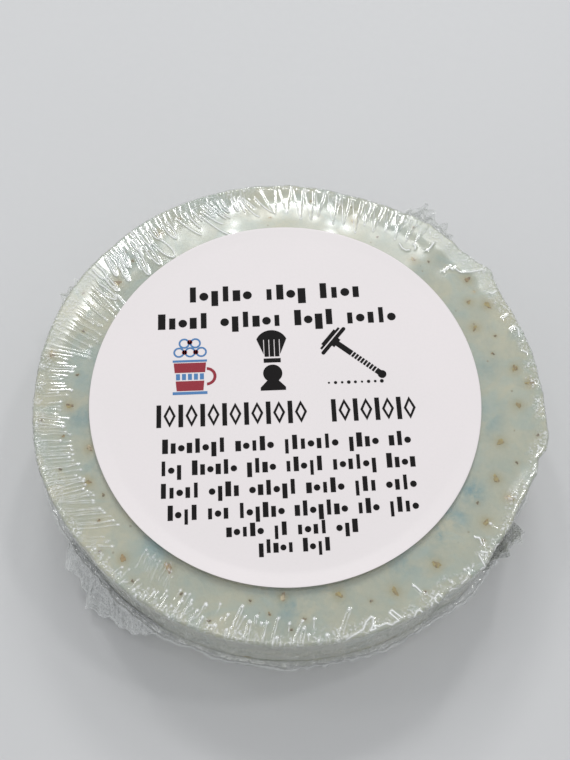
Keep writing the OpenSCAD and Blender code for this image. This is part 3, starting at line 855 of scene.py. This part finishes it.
def facets(p, q, whitening_and_glint, local):
    """How far each point (p, q) of a flat sheet is pushed when it is crumpled into flat facets that meet
    in sharp folds, and how white it is drawn along those folds: partly whitening of the creased film,
    partly painted glint."""
    pushed = np.zeros((*p.shape, 3))
    for size in FACETS:
        turn, phase = local.uniform(0, math.pi), local.uniform(0, 1)
        bend = 0.3 * size * np.sin((p * math.sin(turn) - q * math.cos(turn)) / size + 6 * phase)
        wave = (p * math.cos(turn) + q * math.sin(turn) + bend) / size + phase
        push = local.normal(size=3) * (0.5, 0.5, 1.0)
        pushed += (1 - 4 * np.abs(wave % 1.0 - 0.5))[..., None] * push * size * 0.11
        from_fold = np.abs((2 * wave + 0.5) % 1.0 - 0.5) * size / 2
        # White along each sharp fold: partly whitening of the creased film, partly painted glint.
        whitening_and_glint = np.maximum(whitening_and_glint, local.uniform(0.1, 0.45) * np.exp(-(from_fold / 0.07) ** 2))
    return pushed, whitening_and_glint


def ear_layer(first, last, reach, rise, layer, local):
    """Points of one layer of an ear, on a grid of (out, along), and how white they are drawn: partly
    whitening of the creased film, partly painted glint.
    """
    length = math.radians(last - first) * SOAP_R
    deepest = float(np.max(reach(np.linspace(0, 1, 50))))
    columns, rows = round(length / EAR_STEP), max(8, round(deepest / EAR_STEP))
    u, v = np.meshgrid(np.linspace(0, 1, columns), np.linspace(0, 1, rows))
    theta = first + (last - first) * u
    ragged = 1 + 0.10 * np.sin(21 * u + local.uniform(0, 6)) + 0.09 * np.sin(47 * u + local.uniform(0, 6))
    out = reach(u) * v * ragged
    # The ear's cut rim is drawn white as well: painted glint along its edge.
    pushed, whitening_and_glint = facets(u * length, v * deepest, 0.5 * smooth(0.96, 1.0, v), local)
    root = SOAP_R + bumps(theta, OUTLINE) + 0.25
    points = at(root + out, theta, SEAM_Z + seam_wave(theta) + rise(u) * v ** 1.2 + 0.2 * layer)
    points = points + pushed * smooth(0.0, 0.45, v)[..., None]
    points[..., 2] = np.maximum(points[..., 2], 0.1)
    return points, whitening_and_glint


def thin_sheet(points, start):
    """Points and faces of a closed thin sheet about a grid of points. start is its first point's number."""
    rows, columns = points.shape[:2]
    count = rows * columns
    normal = np.cross(np.gradient(points, axis=1), np.gradient(points, axis=0))
    normal /= np.maximum(np.linalg.norm(normal, axis=-1, keepdims=True), 1e-6)
    offset = normal * EAR_HALF_T
    verts = np.concatenate([(points + offset).reshape(-1, 3), (points - offset).reshape(-1, 3)])
    front = sheet_faces(rows, columns, start)
    faces = [f[::-1] for f in front] + [[i + count for i in f] for f in front]
    number = np.arange(count).reshape(rows, columns) + start
    rim = [*number[0], *number[1:, -1], *number[-1, -2::-1], *number[-2:0:-1, 0]]
    for here, there in zip(rim, rim[1:] + rim[:1]):
        faces.append([int(here), int(there), int(there) + count, int(here) + count])
    return verts, faces


def make_ear(name, node, first, last, reach, rise, seed, material):
    """An ear of a few crumpled layers, one over another."""
    verts, faces, whitening_and_glints = np.zeros((0, 3)), [], []
    for layer in range(EAR_LAYERS):
        local = np.random.default_rng(seed + 7 * layer)
        points, whitening_and_glint = ear_layer(first, last, reach, rise, layer, local)
        more, more_faces = thin_sheet(points, len(verts))
        verts = np.concatenate([verts, more])
        faces += more_faces
        whitening_and_glints += [whitening_and_glint.ravel(), whitening_and_glint.ravel()]
    # the white folds and rim of the ear are partly whitening of the creased film and partly painted glint
    layers = {"haze": np.full(len(verts), 0.5), "whitening_and_glint": np.concatenate(whitening_and_glints)}
    piece = make_mesh(name, verts, faces, material, layers, flat=True)
    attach(piece, "root")
    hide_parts(node)


# ---- label ----

def make_label(material):
    """The paper disc. It lies flat under the print, and its rim lifts a little, most at the front."""
    theta = np.linspace(0, 360, 360, endpoint=False)
    lift = 0.08 + 0.75 * np.clip(np.cos(np.radians(theta - 262)), 0, 1) + waves(theta, 71, 3, 7, 0.03)
    flat_r = 26.8
    radii = np.concatenate([np.linspace(4, 26, 8), np.linspace(flat_r, LABEL_R - 0.04, 9), [LABEL_R]])
    middle = np.array([LABEL_MID[0], LABEL_MID[1], 0.0])
    upper, lower = [], []
    for r in radii:
        z = lift * smooth(flat_r, LABEL_R + 1.5, r) * 1.6
        soft = 0.03 if r == LABEL_R else 0.0
        upper.append(at(r, theta, LABEL_HIGH[2] - soft + z) + middle)
        lower.append(at(r, theta, LABEL_LOW[2] + soft + z) + middle)
    grid = np.stack(upper + lower[::-1])
    poles = np.array([middle, middle])
    poles[:, 2] = LABEL_HIGH[2], LABEL_LOW[2]
    piece = lathe("label_paper", grid, poles, material)
    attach(piece, "root")
    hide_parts("label_stock")


# ---- materials ----

class Nodes:
    """A short way to build a material's node tree."""

    def __init__(self, name):
        self.material = bpy.data.materials.new(name)
        self.material.use_nodes = True
        self.tree = self.material.node_tree
        self.tree.nodes.clear()
        self.out = self.tree.nodes.new("ShaderNodeOutputMaterial")

    def add(self, kind, inputs=None, **settings):
        node = self.tree.nodes.new("ShaderNode" + kind)
        for key, value in settings.items():
            setattr(node, key, value)
        for key, value in (inputs or {}).items():
            self.feed(node.inputs[key], value)
        return node

    def feed(self, socket, value):
        """Links a socket to another node's output, or sets it to a constant."""
        if isinstance(value, bpy.types.NodeSocket):
            self.tree.links.new(value, socket)
        else:
            socket.default_value = value

    def place(self):
        return self.add("TexCoord").outputs["Object"]

    def noise(self, scale, detail=3.0, roughness=0.55, distortion=0.0):
        return self.add("TexNoise", {"Vector": self.place(), "Scale": scale, "Detail": detail,
                                     "Roughness": roughness, "Distortion": distortion}).outputs["Fac"]

    def ramp(self, factor, low, high, a=0.0, b=1.0):
        return self.add("MapRange", {"Value": factor, "From Min": low, "From Max": high, "To Min": a,
                                     "To Max": b}, interpolation_type="SMOOTHSTEP").outputs["Result"]

    def mix(self, factor, a, b):
        """A mix of two colours. Sockets 6 and 7 are the colour inputs of a Mix node."""
        node = self.add("Mix", {"Factor": factor}, data_type="RGBA")
        for socket, value in ((node.inputs[6], a), (node.inputs[7], b)):
            self.feed(socket, (*value, 1.0) if isinstance(value, tuple) else value)
        return node.outputs[2]

    def math(self, operation, a, b, clamp=False):
        node = self.add("Math", operation=operation, use_clamp=clamp)
        self.feed(node.inputs[0], a)
        self.feed(node.inputs[1], b)
        return node.outputs[0]

    def times(self, a, b, clamp=False):
        return self.math("MULTIPLY", a, b, clamp)

    def blend(self, factor, a, b):
        """A mix of two shaders."""
        node = self.add("MixShader", {"Fac": factor})
        self.tree.links.new(a.outputs[0], node.inputs[1])
        self.tree.links.new(b.outputs[0], node.inputs[2])
        return node

    def attribute(self, name):
        return self.add("Attribute", attribute_name=name).outputs["Fac"]

    def bump(self, height, distance, strength):
        inputs = {"Height": height, "Distance": distance, "Strength": strength}
        return self.add("Bump", inputs).outputs["Normal"]

    def finish(self, shader):
        self.tree.links.new(shader.outputs[0], self.out.inputs["Surface"])
        return self.material

    def solid(self, colour, roughness, **others):
        """Ends an opaque material. In the names of the other inputs, _ stands for a space."""
        inputs = {"Base Color": colour, "Roughness": roughness}
        inputs.update((key.replace("_", " "), value) for key, value in others.items())
        return self.finish(self.add("BsdfPrincipled", inputs))


def soap_material():
    """Sage green soap with creamy and blue mottles, brown dots, and stains round the chips. The blue
    mottles just outside the label's front edge are partly painted shadow of the label's lifted rim.
    """
    n = Nodes("cut_soap")
    broad = n.noise(75, 3.0, 0.55, 0.6)
    middle = n.noise(260, 4.0, 0.6, 0.4)
    fine = n.noise(1500, 4.0, 0.65)
    base = n.mix(n.ramp(broad, 0.42, 0.68), (0.435, 0.445, 0.345), (0.50, 0.485, 0.36))
    base = n.mix(n.ramp(n.noise(620, 3.0, 0.6, 0.5), 0.42, 0.62, 0.0, 0.45), base, (0.36, 0.405, 0.34))
    creamy = n.times(n.attribute("cream"), n.ramp(middle, 0.3, 0.62), clamp=True)
    base = n.mix(n.times(creamy, 0.75), base, (0.62, 0.57, 0.40))
    # Blue mottles; those just outside the label's front edge are partly painted shadow of the label's
    # lifted rim.
    bluish_and_shade = n.times(n.attribute("blue"), n.ramp(middle, 0.36, 0.60), clamp=True)
    base = n.mix(n.times(bluish_and_shade, 1.35, clamp=True), base, (0.17, 0.30, 0.32))
    streak = n.times(n.ramp(n.noise(130, 4.0, 0.6, 1.2), 0.50, 0.64), 0.35)
    base = n.mix(streak, base, (0.34, 0.45, 0.43))
    base = n.mix(n.times(n.attribute("stain"), 0.75), base, (0.36, 0.29, 0.12))
    dots = n.add("TexVoronoi", {"Vector": n.place(), "Scale": 620.0, "Randomness": 1.0}).outputs["Distance"]
    dot = n.times(n.ramp(dots, 0.16, 0.08), n.ramp(n.noise(420, 2.0), 0.56, 0.62))
    base = n.mix(n.times(dot, 0.6), base, (0.20, 0.15, 0.07))
    base = n.mix(n.ramp(fine, 0.25, 0.8, 0.0, 0.16), base, (0.62, 0.64, 0.52))
    grain = n.math("ADD", n.times(fine, 0.5), middle)
    return n.solid(base, n.ramp(middle, 0.3, 0.7, 0.42, 0.6), Normal=n.bump(grain, 0.00012, 0.6),
                   Subsurface_Weight=0.12, Subsurface_Radius=(0.0012, 0.0014, 0.0010),
                   Subsurface_Scale=1.0, Specular_IOR_Level=0.35)


def chip_material(name, dark, light, scale):
    """Flakes of one cereal. Some are redder than the rest, and a few are pale."""
    n = Nodes(name)
    tone = n.attribute("tone")
    grain = n.noise(scale, 4.0, 0.65, 0.5)
    husk = n.mix(n.ramp(tone, 0.74, 0.80), light, (0.40, 0.27, 0.10))
    husk = n.mix(n.ramp(tone, 0.93, 0.95), husk, (0.66, 0.56, 0.36))
    base = n.mix(n.ramp(grain, 0.36, 0.62), dark, husk)
    return n.solid(base, n.ramp(grain, 0.2, 0.8, 0.5, 0.8), Normal=n.bump(grain, 0.00006, 0.8))


def film_material(name, haze_low, haze_high, roughness):
    """Clear film: light goes straight through, apart from its mirror-like shine, a whitish haze where it is
    creased, and white lines along its sharpest folds that are partly whitening and partly painted glint."""
    n = Nodes(name)
    crinkle = n.noise(1100, 3.0, 0.6, 0.8)
    slow = n.noise(300, 2.0, 0.5)
    frost = n.times(n.times(n.attribute("frost"), 3.5), n.noise(2600, 2.0, 0.6, 0.6))
    relief = n.math("ADD", n.math("ADD", n.times(crinkle, 0.15), slow), frost)
    surface = n.bump(relief, 0.00001, 0.3)
    facing = n.add("LayerWeight", {"Blend": 0.5, "Normal": surface}).outputs["Facing"]
    shine = n.math("ADD", n.times(n.math("POWER", facing, 5.0), 0.7), 0.055, clamp=True)
    shine = n.times(shine, n.ramp(n.attribute("cling"), 0.0, 1.0, 1.0, 0.3))
    rough = n.math("ADD", n.times(n.attribute("soft"), 0.24), roughness)
    glossy = n.add("BsdfAnisotropic", {"Color": (1, 1, 1, 1), "Roughness": rough, "Normal": surface})
    clear = n.add("BsdfTransparent", {"Color": (0.98, 0.982, 0.98, 1.0)})
    milk_and_glint = n.add("BsdfDiffuse", {"Color": (0.94, 0.95, 0.94, 1.0)})
    haze = n.times(n.attribute("haze"), n.ramp(crinkle, 0.3, 0.7, 0.6, 1.0))
    haze = n.ramp(haze, 0.0, 1.0, haze_low, haze_high)
    speckle = n.ramp(n.noise(3200, 2.0, 0.6, 0.6), 0.48, 0.62, 0.0, 0.7)
    speckle = n.times(n.attribute("frost"), speckle)
    # Haze, speckle and the white lines along the folds go to the white diffuse; the white lines are partly
    # whitening of the creased film and partly painted glint.
    haze = n.math("MAXIMUM", haze, n.math("MAXIMUM", n.attribute("whitening_and_glint"), speckle), clamp=True)
    return n.finish(n.blend(haze, n.blend(shine, clear, glossy), milk_and_glint))


def paper_material():
    n = Nodes("label_paper")
    fibre = n.noise(2600, 5.0, 0.7, 0.4)
    cloud = n.noise(60, 3.0, 0.5)
    base = n.mix(n.ramp(cloud, 0.3, 0.7, 0.0, 0.35), (0.825, 0.77, 0.768), (0.785, 0.745, 0.735))
    base = n.mix(n.ramp(fibre, 0.35, 0.75, 0.0, 0.10), base, (0.70, 0.68, 0.66))
    return n.solid(base, n.ramp(fibre, 0.2, 0.8, 0.5, 0.62), Normal=n.bump(fibre, 0.00002, 0.5),
                   Specular_IOR_Level=0.3)


def ink_material(name, colour, worn):
    n = Nodes(name)
    speckle = n.noise(5200, 4.0, 0.7)
    base = n.mix(n.ramp(speckle, 0.5, 0.85, 0.0, 0.5), colour, worn)
    return n.solid(base, n.ramp(speckle, 0.2, 0.8, 0.5, 0.7), Normal=n.bump(speckle, 0.00001, 0.5),
                   Specular_IOR_Level=0.12)


def adhesive_material():
    n = Nodes("adhesive")
    blotch = n.noise(500, 3.0, 0.6)
    base = n.mix(n.ramp(blotch, 0.3, 0.7), (0.72, 0.70, 0.58), (0.80, 0.78, 0.68))
    return n.solid(base, n.ramp(blotch, 0.2, 0.8, 0.2, 0.4), Normal=n.bump(blotch, 0.00002, 0.5))


def floor_material():
    n = Nodes("pale_floor")
    base = n.mix(n.ramp(n.noise(6, 2.0), 0.3, 0.7), (0.60, 0.60, 0.60), (0.62, 0.62, 0.62))
    return n.solid(base, n.ramp(n.noise(900, 2.0), 0.2, 0.8, 0.5, 0.6))


# ---- camera, light and floor ----

def make_camera():
    """The camera looks down on the puck from the front, rolled a little."""
    elevation, roll, distance = math.radians(66.0), math.radians(1.6), 153.5
    target = Vector((-0.56, 1.26, SOAP_TOP - 0.1))
    back = Vector((0.0, -math.cos(elevation), math.sin(elevation)))
    level = Vector((1.0, 0.0, 0.0))
    raised = back.cross(level)
    right = level * math.cos(roll) + raised * math.sin(roll)
    up = -level * math.sin(roll) + raised * math.cos(roll)
    camera = bpy.data.objects.new("camera", bpy.data.cameras.new("camera"))
    camera.data.lens = 48.1
    camera.data.clip_start = 0.01
    camera.data.clip_end = 20.0
    rotation = Matrix((right, up, back)).transposed()
    camera.matrix_world = Matrix.Translation((target + back * distance) * MM) @ rotation.to_4x4()
    bpy.context.scene.collection.objects.link(camera)
    bpy.context.scene.camera = camera


LIGHT_DISTANCE = 0.90    # metres from the puck
# Each light: name, azimuth (90 is behind the puck), elevation, size in metres, watts, colour
LIGHTS = [
    ("strip", 92, 57, (0.18, 0.05), 0.52, (0.97, 0.99, 1.0)),
    ("back_left", 116, 51, (0.05, 0.20), 0.85, (1, 1, 1)),
    ("back_right", 73, 48, (0.05, 0.20), 0.85, (1, 1, 1)),
    ("left", 150, 63, (0.08, 0.10), 0.24, (1, 1, 1)),
    ("right", 27, 63, (0.08, 0.08), 0.55, (1, 1, 1)),
    ("back", 93, 41, (0.16, 0.05), 0.60, (1, 1, 1)),
    ("overhead", 270, 76, (0.30, 0.30), 0.48, (1, 1, 1)),
]


def add_light(name, azimuth, elevation, size, power, colour):
    """A soft rectangular light that points at the puck."""
    a, e = math.radians(azimuth), math.radians(elevation)
    data = bpy.data.lights.new(name, "AREA")
    data.shape = "RECTANGLE"
    data.size, data.size_y = size
    data.energy = power
    data.color = colour
    light = bpy.data.objects.new(name, data)
    out = Vector((math.cos(a) * math.cos(e), math.sin(a) * math.cos(e), math.sin(e)))
    light.location = out * LIGHT_DISTANCE
    light.rotation_euler = (-out).to_track_quat("-Z", "Y").to_euler()
    bpy.context.scene.collection.objects.link(light)


def make_room():
    """A wide pale floor, soft light from all round, and the lights."""
    mesh = bpy.data.meshes.new("floor")
    half = 3.0
    corners = [(-half, -half, 0), (half, -half, 0), (half, half, 0), (-half, half, 0)]
    mesh.from_pydata(corners, [], [(0, 1, 2, 3)])
    floor = bpy.data.objects.new("floor", mesh)
    mesh.materials.append(floor_material())
    bpy.context.scene.collection.objects.link(floor)
    world = bpy.data.worlds.new("soft_room")
    world.use_nodes = True
    background = world.node_tree.nodes["Background"]
    background.inputs["Color"].default_value = (0.80, 0.82, 0.85, 1.0)
    background.inputs["Strength"].default_value = 0.69
    bpy.context.scene.world = world
    for light in LIGHTS:
        add_light(*light)
    bpy.context.scene.view_settings.view_transform = "Standard"


# ---- assembly ----

def dress(node, material):
    """Gives a CAD node's own mesh a new material."""
    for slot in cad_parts[node].material_slots:
        slot.material = material


def main():
    make_camera()
    make_soap(soap_material())
    oat = chip_material("oat", dark=(0.20, 0.13, 0.05), light=(0.42, 0.34, 0.12), scale=1300)
    oats = make_chips("oats", "oat_flakes", oat, thickness=0.5, proud=0.05)
    husk = chip_material("bran", dark=(0.09, 0.065, 0.03), light=(0.24, 0.18, 0.08), scale=2600)
    bran = make_chips("bran", "bran_specks", husk, thickness=0.3, proud=0.03)
    make_films(film_material("shrink_film", haze_low=0.01, haze_high=0.08, roughness=0.10))
    make_bead(film_material("melted_film", haze_low=0.08, haze_high=0.30, roughness=0.10))
    crumpled = film_material("crumpled_film", haze_low=0.02, haze_high=0.12, roughness=0.06)
    for ear in EARS:
        make_ear(*ear, crumpled)
    make_label(paper_material())
    dress("label_adhesive", adhesive_material())
    dress("label_ink_black", ink_material("ink_black", (0.006, 0.005, 0.005), (0.03, 0.027, 0.027)))
    dress("label_ink_red", ink_material("ink_red", (0.30, 0.035, 0.05), (0.42, 0.15, 0.16)))
    dress("label_ink_blue", ink_material("ink_blue", (0.09, 0.22, 0.45), (0.25, 0.36, 0.52)))
    make_room()


main()
